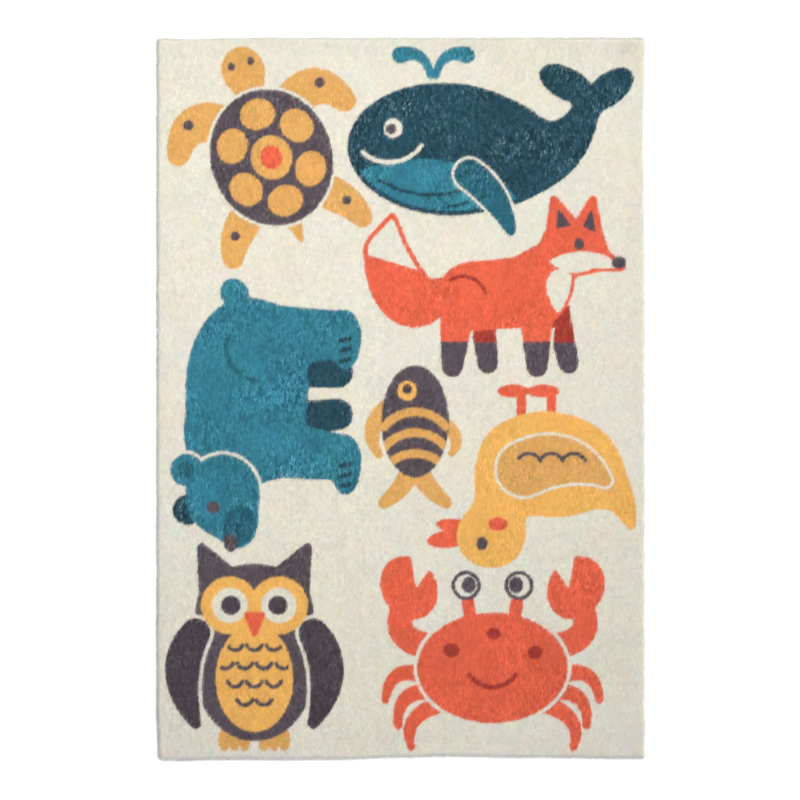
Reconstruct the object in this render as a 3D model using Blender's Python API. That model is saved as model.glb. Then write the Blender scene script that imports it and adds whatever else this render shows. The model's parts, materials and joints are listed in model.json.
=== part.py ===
"""A kids' play rug lying flat on the floor: one oblong panel of short, dense pile on its ground cloth.

Metres, +Z up. The origin is on the floor under the middle of the rug, with +X across it to the right
and +Y along it to the head. The rug is one soft slab. It is flat below, its pile leans out and rolls over
at the rim, and its top and its four edges are a little uneven, as cloth is. Its print is colour alone, so
nothing of it is raised.
"""

import math

import bmesh
import bpy

# Driving dimensions
WIDTH = 1.000
LENGTH = 1.479
GROUND_CLOTH = 0.002
PILE = 0.009
THICKNESS = GROUND_CLOTH + PILE

# The rim: the pile reaches furthest out at this height, rolls in above it over this width, and is
# tucked in below it by this much, down to the ground cloth.
RIM_HEIGHT = 0.0040
ROLL_WIDTH = 0.010
ROLL_STEPS = 5
TUCK_IN = 0.0025

# Spacing of the grid lines between the rolled rims.
FIELD_SPACING = 0.028

# Corner roundings, by the side that they lie on along X and along Y.
CORNER_RADII = {(-1, -1): 0.012, (1, -1): 0.005, (1, 1): 0.005, (-1, 1): 0.006}

# How far each edge is drawn in from the straight oblong. A place runs along the edge from -1 to 1,
# left to right on the head and the foot, and foot to head on the two sides.
HEAD_EDGE = {
    "place": (-1.00, -0.93, -0.84, -0.76, -0.60, 1.00),
    "drawn_in": (0.0002, 0.0022, 0.0030, 0.0016, 0.0000, 0.0000),
}
FOOT_EDGE = {
    "place": (-1.00, -0.92, -0.70, -0.50, -0.27, 0.00, 0.20, 0.42, 0.65, 0.85, 1.00),
    "drawn_in": (0.0008, 0.0000, 0.0020, 0.0012, 0.0018, 0.0065, 0.0087, 0.0064, 0.0059, 0.0042, 0.0038),
}
LEFT_EDGE = {
    "place": (-1.00, -0.94, -0.86, 1.00),
    "drawn_in": (0.0022, 0.0018, 0.0000, 0.0000),
}
RIGHT_EDGE = {
    "place": (-1.00, 0.40, 0.60, 0.73, 0.86, 1.00),
    "drawn_in": (0.0000, 0.0004, 0.0022, 0.0034, 0.0018, 0.0000),
}

# Waves of the edges, and of the brushed top across and along the rug. Heights are in metres.
EDGE_WAVES = (
    {"waves": 9, "phase": 0.4, "height": 0.00025},
    {"waves": 17, "phase": 4.0, "height": 0.00020},
)
TOP_WAVES = (
    {"across": 2, "along": 3, "phase": 0.7, "height": 0.0003},
    {"across": 5, "along": -4, "phase": 2.6, "height": 0.0003},
    {"across": 7, "along": 11, "phase": 5.1, "height": 0.0002},
)

# The straying of an edge dies away towards the middle of the rug, as this power of the distance from it.
EDGE_FADE = 4

PILE_COLOUR = (0.80, 0.76, 0.65, 1.0)
PILE_ROUGHNESS = 0.95
SHARP_ANGLE = math.radians(50)


def clear_scene():
    for obj in list(bpy.data.objects):
        bpy.data.objects.remove(obj, do_unlink=True)


def new_collection(name):
    collection = bpy.data.collections.new(name)
    bpy.context.scene.collection.children.link(collection)
    return collection


def pile_material():
    material = bpy.data.materials.new("cream_pile")
    material.use_nodes = True
    shader = material.node_tree.nodes["Principled BSDF"]
    shader.inputs["Base Color"].default_value = PILE_COLOUR
    shader.inputs["Roughness"].default_value = PILE_ROUGHNESS
    shader.inputs["Metallic"].default_value = 0.0
    return material


def grid_lines(size):
    """Distances of the grid lines from one rim to the other: close over each rolled rim, even between."""
    roll = [ROLL_WIDTH * (1 - math.cos(math.pi / 2 * step / ROLL_STEPS)) for step in range(ROLL_STEPS)]
    field = size - 2 * ROLL_WIDTH
    spaces = round(field / FIELD_SPACING)
    middle = [ROLL_WIDTH + field * space / spaces for space in range(spaces + 1)]
    return roll + middle + [size - inset for inset in reversed(roll)]


def drawn_in(edge, place):
    """How far an edge is drawn in at a place along it, eased from each row of its table to the next."""
    places = edge["place"]
    depths = edge["drawn_in"]
    for row in range(1, len(places)):
        if place <= places[row]:
            share = (place - places[row - 1]) / (places[row] - places[row - 1])
            eased = (1 - math.cos(math.pi * max(share, 0.0))) / 2
            return depths[row - 1] + (depths[row] - depths[row - 1]) * eased
    return depths[-1]


def edge_wave(place, phase):
    """How far an edge waves outwards at a place along it."""
    return sum(
        wave["height"] * math.sin(math.pi * wave["waves"] * place + wave["phase"] + phase)
        for wave in EDGE_WAVES
    )


def top_wave(x, y):
    """The soft rise and fall of the brushed pile."""
    return sum(
        wave["height"]
        * math.sin(2 * math.pi * (wave["across"] * x + wave["along"] * y) / LENGTH + wave["phase"])
        for wave in TOP_WAVES
    )


def round_corner(x, y):
    """Moves a point from the square corner of the oblong to the rounded one."""
    side_x = math.copysign(1, x)
    side_y = math.copysign(1, y)
    radius = CORNER_RADII[side_x, side_y]
    over_x = abs(x) - (WIDTH / 2 - radius)
    over_y = abs(y) - (LENGTH / 2 - radius)
    if over_x <= 0 or over_y <= 0:
        return x, y
    shrink = max(over_x, over_y) / math.hypot(over_x, over_y)
    return (
        side_x * (WIDTH / 2 - radius + over_x * shrink),
        side_y * (LENGTH / 2 - radius + over_y * shrink),
    )


def stray(x, y):
    """Moves a point with the edges, which aren't quite straight."""
    across = x / (WIDTH / 2)
    along = y / (LENGTH / 2)
    side_edge, side_phase = (LEFT_EDGE, 0.0) if across < 0 else (RIGHT_EDGE, 2.0)
    end_edge, end_phase = (FOOT_EDGE, 1.0) if along < 0 else (HEAD_EDGE, 3.0)
    out_x = edge_wave(along, side_phase) - drawn_in(side_edge, along)
    out_y = edge_wave(across, end_phase) - drawn_in(end_edge, across)
    return (
        x + math.copysign(1, x) * out_x * abs(across) ** EDGE_FADE,
        y + math.copysign(1, y) * out_y * abs(along) ** EDGE_FADE,
    )


def pile_height(inset):
    """Height of the pile at this distance in from the rim: a quarter ellipse over the roll, then level."""
    share = min(inset / ROLL_WIDTH, 1.0)
    return RIM_HEIGHT + (THICKNESS - RIM_HEIGHT) * math.sqrt(1 - (1 - share) ** 2)


def shape_top(mesh, columns, rows):
    """Places the vertices of an even grid, one for each column and row, as the rug's upper face."""
    for vertex in mesh.verts:
        column = columns[round((vertex.co.x + 0.5) * (len(columns) - 1))]
        row = rows[round((vertex.co.y + 0.5) * (len(rows) - 1))]
        inset = max(min(column, WIDTH - column, row, LENGTH - row), 0.0)
        x, y = round_corner(column - WIDTH / 2, row - LENGTH / 2)
        level = min(inset / ROLL_WIDTH, 1.0)
        vertex.co.z = pile_height(inset) + level * top_wave(x, y)
        vertex.co.x, vertex.co.y = stray(x, y)


def centre_on_origin(mesh):
    """Brings the middle of the outline over the origin."""
    for axis in (0, 1):
        places = [vertex.co[axis] for vertex in mesh.verts]
        middle = (min(places) + max(places)) / 2
        for vertex in mesh.verts:
            vertex.co[axis] -= middle


def close_with_flat_underside(mesh):
    """Extrudes the upper face down to the floor, tucked in below the rim, as one flat face."""
    grown = bmesh.ops.extrude_face_region(mesh, geom=mesh.faces[:])["geom"]
    underside = [item for item in grown if isinstance(item, bmesh.types.BMVert)]
    for vertex in underside:
        vertex.co.x *= 1 - 2 * TUCK_IN / WIDTH
        vertex.co.y *= 1 - 2 * TUCK_IN / LENGTH
        vertex.co.z = 0.0
    flat = [face for face in mesh.faces if all(vertex.co.z == 0.0 for vertex in face.verts)]
    whole = bmesh.ops.dissolve_faces(mesh, faces=flat)["region"]
    bmesh.ops.poke(mesh, faces=whole)
    bmesh.ops.recalc_face_normals(mesh, faces=mesh.faces[:])


def make_rug(collection):
    columns = grid_lines(WIDTH)
    rows = grid_lines(LENGTH)
    mesh = bmesh.new()
    bmesh.ops.create_grid(mesh, x_segments=len(columns) - 1, y_segments=len(rows) - 1, size=0.5)
    shape_top(mesh, columns, rows)
    centre_on_origin(mesh)
    close_with_flat_underside(mesh)
    data = bpy.data.meshes.new("rug")
    mesh.to_mesh(data)
    mesh.free()
    data.materials.append(pile_material())
    data.shade_smooth()
    data.set_sharp_from_angle(angle=SHARP_ANGLE)
    rug = bpy.data.objects.new("rug", data)
    collection.objects.link(rug)


def main():
    clear_scene()
    make_rug(new_collection("kids_rug"))


main()
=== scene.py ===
"""The looks of a kids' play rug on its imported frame: ground cloth, dense plush pile and printed picture.

Metres, +Z up, +X across the rug and +Y along it to the head. The pile is real geometry: tapered tufts
stand on a bed, lean to the foot, gather in wisps and hang out over the rim. The print is worked out from
flat shapes drawn in centimetres, and each tuft takes the colours of the places that it lies over.
"""

import json
import math

import bpy
import numpy as np
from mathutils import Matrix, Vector
from mathutils.bvhtree import BVHTree

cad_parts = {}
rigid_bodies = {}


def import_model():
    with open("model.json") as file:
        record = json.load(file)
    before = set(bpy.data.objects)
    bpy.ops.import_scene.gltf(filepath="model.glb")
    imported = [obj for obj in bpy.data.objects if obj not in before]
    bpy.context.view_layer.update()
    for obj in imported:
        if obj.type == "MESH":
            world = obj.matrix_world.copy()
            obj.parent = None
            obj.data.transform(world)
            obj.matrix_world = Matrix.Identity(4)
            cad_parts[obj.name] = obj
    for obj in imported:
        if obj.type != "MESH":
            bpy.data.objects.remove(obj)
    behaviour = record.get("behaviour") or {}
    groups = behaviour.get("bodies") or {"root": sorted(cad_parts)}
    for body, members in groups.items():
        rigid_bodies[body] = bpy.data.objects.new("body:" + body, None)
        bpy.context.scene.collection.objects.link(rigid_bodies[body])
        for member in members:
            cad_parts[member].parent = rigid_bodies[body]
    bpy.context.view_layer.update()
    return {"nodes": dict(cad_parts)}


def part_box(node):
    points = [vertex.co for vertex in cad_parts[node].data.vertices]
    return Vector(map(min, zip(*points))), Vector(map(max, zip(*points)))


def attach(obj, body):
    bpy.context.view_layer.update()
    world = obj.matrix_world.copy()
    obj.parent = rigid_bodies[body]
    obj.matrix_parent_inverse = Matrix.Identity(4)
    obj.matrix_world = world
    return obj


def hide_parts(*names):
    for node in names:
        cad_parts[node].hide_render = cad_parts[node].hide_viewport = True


SEED = 41
TINY = 1e-9

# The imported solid: the height where it reaches furthest out, and its rolled rim.
RIM_HEIGHT = 0.0040
ROLL_WIDTH = 0.010
ROLL_DROP = 0.007
ROLL_STEEPEST = 0.90

# Rays that find the solid: how many to an edge, how far off they start, and the grid of the top.
EDGE_RAYS = 240
RAY_START = 1.0
CORNER_RAY_START = 0.1
CORNER_MARGIN = 0.016
SMALLEST_CORNER = 0.002
TOP_RAY_SPACING = 0.012
TOP_MARGIN = ROLL_WIDTH * 1.5
TOP_GRID_END = 1.001

# Ground cloth
CLOTH_THICKNESS = 0.002
CLOTH_INSET = 0.0027
CLOTH_RIM = 0.008
CLOTH_SPACING = 0.026
CLOTH_EDGE = 0.0004

# Pile bed: the dense lower part of the pile, which shows only between the tufts.
BED_INSET = 0.0034
BED_FOOT = 0.0019
BED_DEPTH = 0.0038
BED_ROLL = 0.0060
BED_ROLL_STEPS = 4
BED_SPACING = 0.0070
# The bed's lumps carry painted shade in their hollows and painted light on their crests.
BED_LUMPS = {"size": 0.006, "height": 0.0003, "darker": 0.10, "seed": 21}

# Tufts. A spread runs from the least to the most, as shares of the size it belongs to.
TUFT_PITCH = 0.00242
TUFT_JITTER = 0.35
TUFT_MARGIN = 0.0009
TUFT_RADIUS = 0.00140
TUFT_RADIUS_SPREAD = (0.85, 1.15)
TUFT_SUNK = 0.0006
TUFT_REACH = 0.0040
TUFT_REACH_SPREAD = (0.78, 1.18)
TUFT_TURN_STRAYS = 0.18
TUFT_SHADE_STRAYS = 0.28
TUFT_STRIPS = 5
ROOT_ANGLES = (90, 210, 330)
TUFT_FACES = ((1, 0, 3), (2, 1, 3), (0, 2, 3))
NORMAL_LIFT = 0.55

# How far below the solid's top a tip ends, and the share of that which is left at the rim.
TIP_DROP = {"least": 0.0002, "from_tuft_to_tuft": 0.0011, "from_wisp_to_wisp": 0.0008}
RIM_DROP_SHARE = 0.35

# Near the rim the tufts of the bed turn outwards.
RIM_REACH = 0.0130
RIM_TURN_POWER = 1.2

# Tufts that hang out over the rim, in rows at these heights. The upper rows stand further in.
RIM_ROWS = (0.0016, 0.0030, 0.0044, 0.0056)
RIM_PITCH = 0.0021
RIM_JITTER = 0.0005
RIM_ROOT_INSET = BED_INSET + 0.0007
RIM_ROOT_SLOPE = 0.0012
RIM_SWING_STRAYS = 0.35
RIM_SWING_MOST = 0.9
RIM_LEAN_TO_FOOT = 0.25
RIM_OVERHANG = 0.0020
RIM_REACH_SPREAD = (0.78, 1.12)
RIM_RADIUS_SPREAD = (0.75, 1.0)
RIM_SHADE_STRAYS = 0.6
RIM_TIP_RISE = (-0.0009, 0.0007)
TIP_CLEARANCE = 0.0003
ROOT_CLEARANCE = 0.0002

# Where the tips of the rim's tufts end, below zero past the outline, and how much that strays.
RIM_END = -0.0006
RIM_STRAYS = 0.0018
RIM_LUMPS = {"size": 0.008, "height": 0.0005, "seed": 23}

# Small lumps of the brushed top, and how finely their slope is read.
TOP_LUMPS = {"size": 0.0065, "height": 0.0004, "seed": 22}
LUMP_STEPS = 8

# Wisps: the tufts of one cell turn and lean together, and its middle stands higher than its sides.
WISP_WIDTH = 0.0044
WISP_LENGTH = 0.0078
WISP_CELLS = 512
WISP_TURN = 0.9
WISP_PULL_ACROSS = 0.42
WISP_PULL_ALONG = 0.15
WISP_CROWN = 0.0006
WISP_CROWN_END = 1.4

# Swirl: sideways straying of the brushed pile, and the step that its slope is read over.
SWIRLS = (
    {"size": 0.060, "reach": 0.0060, "seed": 11},
    {"size": 0.020, "reach": 0.0018, "seed": 12},
)
SWIRL_STEP = 0.001
NOISE_CELLS = 256

# Painted shade deep in the pile: how much darker the bed and the roots are than the tips, and where along
# a tuft its two colours are taken.
BED_PAINTED_SHADE = 0.80
ROOT_PAINTED_SHADE = 0.84
COLOUR_PLACES = ((0.35, ROOT_PAINTED_SHADE), (0.90, 1.0))
DARKEST_SHADE = 0.3
PRINT_STRAYS = 0.0005

# How much undyed fibre shows in the palest wisps, and how steeply it falls off in darker ones.
UNDYED_SHARE = 0.055
UNDYED_POWER = 3

# Broad unevenness of the brushing, and of each dye's depth and hue as shares of how much it varies.
BRUSHED = {"size": 0.075, "seed": 31, "middle": 0.9, "swing": 0.55}
DYE_DEPTH = {"size": 0.045, "seed": 32, "change": 0.42}
DYE_HUE = {"size": 0.014, "seed": 35, "change": (-0.08, 0.14, -0.05)}

# Clouds of tint in the whole pile, in red, green and blue, down to a fine mottle of light and dark.
TINTS = (
    {"size": 0.022, "seed": 33, "change": (0.022, 0.000, -0.042)},
    {"size": 0.028, "seed": 34, "change": (0.017, -0.027, 0.005)},
    {"size": 0.120, "seed": 36, "change": (0.012, 0.002, -0.024)},
    {"size": 0.0068, "seed": 37, "change": (0.054, 0.054, 0.050)},
)

# Painted light: the rim is paler and cooler.
RIM_PAINTED_LIGHT = {"reach": 0.0068, "change": (0.036, 0.046, 0.125)}

# Painted shade: the pile darkens a little towards the head, up to its lit rim and less at the right.
HEAD_PAINTED_SHADE = {"place": 0.738, "reach": 0.042, "darker": 0.095, "fades_over": (0.30, 0.45)}

# Painted shade: a greyer patch in the corner at the right of the head.
CORNER_PAINTED_SHADE = {"place": (0.462, 0.712), "reach": (0.030, 0.022), "darker": 0.14}


# ---- small helpers
def clear_scene():
    for obj in list(bpy.data.objects):
        bpy.data.objects.remove(obj, do_unlink=True)


def placed(name, data):
    """A new object in the scene."""
    thing = bpy.data.objects.new(name, data)
    bpy.context.scene.collection.objects.link(thing)
    return thing


def linear(colour):
    """An sRGB colour of 0 to 255 as linear light."""
    share = np.asarray(colour, float) / 255
    return np.where(share <= 0.04045, share / 12.92, ((share + 0.055) / 1.055) ** 2.4)


def eased(share):
    return share * share * (3 - 2 * share)


def blended(table, column, row, s, t):
    """A table read between its numbers, this far on to the next column and row. It repeats."""
    columns, rows = table.shape
    i, next_i = column % columns, (column + 1) % columns
    j, next_j = row % rows, (row + 1) % rows
    near = table[i, j] * (1 - s) + table[next_i, j] * s
    far = table[i, next_j] * (1 - s) + table[next_i, next_j] * s
    return near * (1 - t) + far * t


def waver(x, y, size, seed):
    """Smooth random hills of about this size, from -1 to 1."""
    table = np.random.default_rng(seed).uniform(-1, 1, (NOISE_CELLS, NOISE_CELLS))
    u = x / size
    v = y / size
    column = np.floor(u).astype(int)
    row = np.floor(v).astype(int)
    return blended(table, column, row, eased(u - column), eased(v - row))


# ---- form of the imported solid
class RugForm:
    """Outline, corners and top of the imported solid, found by rays."""

    def __init__(self, node):
        mesh = node.data
        corners = [vertex.co for vertex in mesh.vertices]
        self.tree = BVHTree.FromPolygons(corners, [tuple(face.vertices) for face in mesh.polygons])
        self.low, self.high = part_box(node.name)
        self.wide = self.high.x - self.low.x
        self.long = self.high.y - self.low.y
        self.columns = np.linspace(self.low.x + CORNER_MARGIN, self.high.x - CORNER_MARGIN, EDGE_RAYS)
        self.rows = np.linspace(self.low.y + CORNER_MARGIN, self.high.y - CORNER_MARGIN, EDGE_RAYS)
        self.left = np.array([self.hit(self.low.x - RAY_START, y, 1, 0).x for y in self.rows])
        self.right = np.array([self.hit(self.high.x + RAY_START, y, -1, 0).x for y in self.rows])
        self.foot = np.array([self.hit(x, self.low.y - RAY_START, 0, 1).y for x in self.columns])
        self.head = np.array([self.hit(x, self.high.y + RAY_START, 0, -1).y for x in self.columns])
        self.radii = np.array([[self.corner_radius(sx, sy) for sy in (-1, 1)] for sx in (-1, 1)])
        self.find_top()

    def hit(self, x, y, towards_x, towards_y):
        """Where a level ray at the height of the rim meets the solid."""
        towards = Vector((towards_x, towards_y, 0)).normalized()
        return self.tree.ray_cast(Vector((x, y, RIM_HEIGHT)), towards)[0]

    def corner_radius(self, side_x, side_y):
        """Radius of a corner, from how far in a slanting ray meets the solid."""
        sides = self.left if side_x < 0 else self.right
        ends = self.foot if side_y < 0 else self.head
        square = Vector((sides[0 if side_y < 0 else -1], ends[0 if side_x < 0 else -1], RIM_HEIGHT))
        start_x = square.x + side_x * CORNER_RAY_START
        start_y = square.y + side_y * CORNER_RAY_START
        found = self.hit(start_x, start_y, -side_x, -side_y)
        return max((found - square).length / (math.sqrt(2) - 1), SMALLEST_CORNER)

    def find_top(self):
        """Heights of the level top on an even grid, clear of the rolled rim."""
        self.top_x = np.arange(self.low.x + TOP_MARGIN, self.high.x - TOP_MARGIN, TOP_RAY_SPACING)
        self.top_y = np.arange(self.low.y + TOP_MARGIN, self.high.y - TOP_MARGIN, TOP_RAY_SPACING)
        down = Vector((0, 0, -1))
        self.level = np.array([
            [self.tree.ray_cast(Vector((x, y, RAY_START)), down)[0].z for y in self.top_y]
            for x in self.top_x
        ])

    def sides(self, y):
        """Where the left and the right edge lie at each height up the rug."""
        return np.interp(y, self.rows, self.left), np.interp(y, self.rows, self.right)

    def ends(self, x):
        """Where the foot and the head lie at each place across the rug."""
        return np.interp(x, self.columns, self.foot), np.interp(x, self.columns, self.head)

    def inset(self, x, y):
        """How far in from the outline each place lies, and the way out from there on X and on Y."""
        left, right = self.sides(y)
        foot, head = self.ends(x)
        side_x = np.where(x - left < right - x, -1, 1)
        side_y = np.where(y - foot < head - y, -1, 1)
        across = np.minimum(x - left, right - x)
        along = np.minimum(y - foot, head - y)
        radius = self.radii[(side_x + 1) // 2, (side_y + 1) // 2]
        bend_x = np.maximum(radius - across, 0)
        bend_y = np.maximum(radius - along, 0)
        bend = np.hypot(bend_x, bend_y)
        in_corner = (bend_x > 0) & (bend_y > 0)
        inset = np.where(in_corner, radius - bend, np.minimum(across, along))
        out_x = side_x * np.where(in_corner, bend_x / np.maximum(bend, TINY), across <= along)
        out_y = side_y * np.where(in_corner, bend_y / np.maximum(bend, TINY), along < across)
        return inset, out_x, out_y

    def settled(self, x, y, wanted):
        """Places moved in to lie no nearer to the outline than wanted."""
        inset, out_x, out_y = self.inset(x, y)
        push = np.maximum(wanted - inset, 0)
        return x - out_x * push, y - out_y * push

    def top(self, x, y):
        """Height of the solid's top over each place, rolled rim and all."""
        u = np.clip((x - self.top_x[0]) / TOP_RAY_SPACING, 0, len(self.top_x) - TOP_GRID_END)
        v = np.clip((y - self.top_y[0]) / TOP_RAY_SPACING, 0, len(self.top_y) - TOP_GRID_END)
        column = u.astype(int)
        row = v.astype(int)
        level = blended(self.level, column, row, u - column, v - row)
        share = np.clip(self.inset(x, y)[0] / ROLL_WIDTH, 0, 1)
        return RIM_HEIGHT + (level - RIM_HEIGHT) * np.sqrt(1 - (1 - share) ** 2)

    def facing(self, x, y):
        """The way that the rolled and lumpy top faces over each place."""
        inset, out_x, out_y = self.inset(x, y)
        over = np.clip(1 - inset / ROLL_WIDTH, 0, ROLL_STEEPEST)
        slope = ROLL_DROP / ROLL_WIDTH * over / np.sqrt(1 - over**2)
        step = TOP_LUMPS["size"] / LUMP_STEPS
        rise_x = (lumps(x + step, y, TOP_LUMPS) - lumps(x - step, y, TOP_LUMPS)) / (2 * step)
        rise_y = (lumps(x, y + step, TOP_LUMPS) - lumps(x, y - step, TOP_LUMPS)) / (2 * step)
        way = np.stack([out_x * slope - rise_x, out_y * slope - rise_y, np.ones(x.shape)], -1)
        return way / np.linalg.norm(way, axis=-1, keepdims=True)

    def bed(self, x, y):
        """Height of the pile bed over each place."""
        share = np.clip((self.inset(x, y)[0] - BED_INSET) / BED_ROLL, 0, 1)
        return BED_FOOT + (self.top(x, y) - BED_DEPTH - BED_FOOT) * np.sqrt(1 - (1 - share) ** 2)

    def grid(self, rim, spacing):
        """Places of a grid that follows the outline: lines at the rim's insets, and an even field."""
        insets_x = even_insets(self.wide, rim, spacing)
        insets_y = even_insets(self.long, rim, spacing)
        across, along = np.meshgrid(insets_x, insets_y, indexing="ij")
        x = self.low.x + across
        y = self.low.y + along
        left, right = self.sides(y)
        foot, head = self.ends(x)
        over_x = np.clip((across - ROLL_WIDTH) / (self.wide - 2 * ROLL_WIDTH), 0, 1)
        over_y = np.clip((along - ROLL_WIDTH) / (self.long - 2 * ROLL_WIDTH), 0, 1)
        x = x + (left - self.low.x) * (1 - over_x) + (right - self.high.x) * over_x
        y = y + (foot - self.low.y) * (1 - over_y) + (head - self.high.y) * over_y
        ring = np.minimum.reduce([across, self.wide - across, along, self.long - along])
        return self.settled(x, y, ring)


# ---- flat shapes, in centimetres
# Each gives the distance of every place from the shape's outline, below zero inside it.
STEEPEST_TAPER = 0.95
BEND_STEPS = 14
ARC_FEWEST_STEPS = 3
ARC_STEP_DEGREES = 12


def turned(x, y, degrees):
    """Places as seen from axes turned anticlockwise by this angle."""
    cos = math.cos(math.radians(degrees))
    sin = math.sin(math.radians(degrees))
    return x * cos + y * sin, y * cos - x * sin


def oval(x, y, middle_x, middle_y, reach_x, reach_y, turn=0.0):
    u, v = turned(x - middle_x, y - middle_y, turn)
    near = np.hypot(u / reach_x, v / reach_y) + TINY
    slope = np.hypot(u / reach_x**2, v / reach_y**2) + TINY
    return near * (near - 1) / slope


def bar(x, y, start, end):
    """A bar with round ends, each end as (x, y, radius)."""
    (start_x, start_y, start_radius), (end_x, end_y, end_radius) = start, end
    length = math.hypot(end_x - start_x, end_y - start_y)
    taper = max(-STEEPEST_TAPER, min(STEEPEST_TAPER, (end_radius - start_radius) / length))
    u, v = turned(x - start_x, y - start_y, math.degrees(math.atan2(end_y - start_y, end_x - start_x)))
    nearest = np.clip(u + np.abs(v) * taper / math.sqrt(1 - taper**2), 0, length)
    return np.hypot(u - nearest, v) - (start_radius + taper * nearest)


def limb(x, y, *stops):
    """Bars in a row from stop to stop, each stop as (x, y, radius)."""
    return either(*[bar(x, y, start, end) for start, end in zip(stops, stops[1:])])


def curl(x, y, start, middle, end, *more):
    """A limb along a smooth curve from the first stop to the third that leans to the second."""
    stops = []
    for step in range(BEND_STEPS + 1):
        t = step / BEND_STEPS
        weights = ((1 - t) ** 2, 2 * t * (1 - t), t * t)
        stops.append(tuple(np.dot(weights, numbers) for numbers in zip(start, middle, end)))
    return limb(x, y, *stops, *more)


def arc(x, y, middle_x, middle_y, radius, start, end, width):
    """Part of a ring between two angles, in degrees anticlockwise from +X."""
    steps = max(ARC_FEWEST_STEPS, round((end - start) / ARC_STEP_DEGREES))
    angles = [math.radians(start + (end - start) * step / steps) for step in range(steps + 1)]
    return limb(x, y, *[
        (middle_x + radius * math.cos(angle), middle_y + radius * math.sin(angle), width / 2)
        for angle in angles
    ])


def corner(x, y, points, rounding):
    """A flat shape with straight sides and rounded corners."""
    nearest = np.full(np.shape(x), np.inf)
    inside = np.zeros(np.shape(x), bool)
    for (ax, ay), (bx, by) in zip(points, points[1:] + points[:1]):
        nearest = np.minimum(nearest, bar(x, y, (ax, ay, 0), (bx, by, 0)))
        rise = (by - ay) or TINY
        inside ^= ((ay > y) != (by > y)) & (x < (bx - ax) * (y - ay) / rise + ax)
    return np.where(inside, -nearest, nearest) - rounding


def either(*shapes):
    return np.minimum.reduce(shapes)


def both(*shapes):
    return np.maximum.reduce(shapes)


def pair(shape, x, y, *numbers):
    """A shape and its mirror image across x = 0."""
    return either(shape(x, y, *numbers), shape(-x, y, *numbers))


def merged(one, other, softness):
    """Two shapes as one, with a soft hollow where they meet."""
    share = np.clip(0.5 + 0.5 * (other - one) / softness, 0, 1)
    return other + (one - other) * share - softness * share * (1 - share)


# ---- motifs of the print
# Each is drawn in centimetres and gives its layers from the lowest up, as a colour's name and a shape.
def whale(x, y):
    """Facing left."""
    body = oval(x, y, -5, -1, 18, 12, -3)
    tail = curl(x, y, (6, -2, 8.4), (17, -3.5, 4.2), (20.5, 7, 2.2))
    flukes = either(oval(x, y, 16.6, 10.8, 5.4, 2.9, -28), oval(x, y, 24.2, 9.8, 5.2, 2.9, 38))
    whole = merged(merged(body, tail, 3), flukes, 1.5)
    belly = both(oval(x, y, -8.5, -13, 17.5, 10.2, -5), whole + 0.9)
    grooves = either(*[arc(x, y, -8, 8.2 - 2.6 * n, 17.5, 238, 292, 0.6) for n in range(3)])
    fin = curl(x, y, (-1, -5.5, 2.7), (4, -9, 2.9), (6.5, -15.6, 1))
    spout = pair(curl, x + 7.5, y, (0.5, 12.4, 0.7), (1.5, 17.2, 0.9), (6, 16, 1.5))
    return [
        ("teal", spout),
        ("petrol", whole),
        ("teal", belly),
        ("petrol", both(grooves, belly + 0.6)),
        ("cream", arc(x, y, -15.5, 3.8, 7.2, 228, 325, 0.75)),
        ("cream", fin - 0.5),
        ("deep_teal", fin),
        ("cream", oval(x, y, -14.8, 2.8, 1.7, 1.7)),
        ("plum", oval(x, y, -15.1, 2.7, 0.95, 0.95)),
    ]


def tortoise(x, y):
    """Seen from above, with its head up."""
    shell = oval(x, y, 0, -0.5, 11.8, 13.4)
    head = merged(oval(x, y, 0, 17.2, 4.2, 4.7), bar(x, y, (0, 9, 2.9), (0, 13, 2.7)), 1.5)
    tail = bar(x, y, (0, -11, 2.3), (0.6, -17.6, 0.5))
    front_legs = pair(curl, x, y, (6, 7.5, 3.8), (13, 13.5, 4.2), (17, 5.6, 2.2))
    back_legs = pair(curl, x, y, (6, -8.5, 3.4), (11.5, -12, 3.6), (13.2, -17, 2))
    marks = either(
        pair(oval, x, y, 13.4, 10.4, 1, 1),
        pair(oval, x, y, 11.4, -12.9, 0.9, 0.9),
        pair(oval, x, y, 1.9, 18.6, 0.7, 0.85),
    )
    plates = [oval(x, y, 0, -0.5, 4, 4.3)]
    for n in range(6):
        turn = 90 + 60 * n
        middle_x = 7.6 * math.cos(math.radians(turn))
        middle_y = 8.8 * math.sin(math.radians(turn)) - 0.5
        plates.append(oval(x, y, middle_x, middle_y, 3.45, 3, turn + 90))
    return [
        ("ochre", either(head, tail, front_legs, back_legs)),
        ("cream", shell - 0.6),
        ("plum", shell),
        ("ochre", either(*plates)),
        ("orange", oval(x, y, 0, -0.5, 2.1, 2.3)),
        ("plum", marks),
    ]


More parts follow.
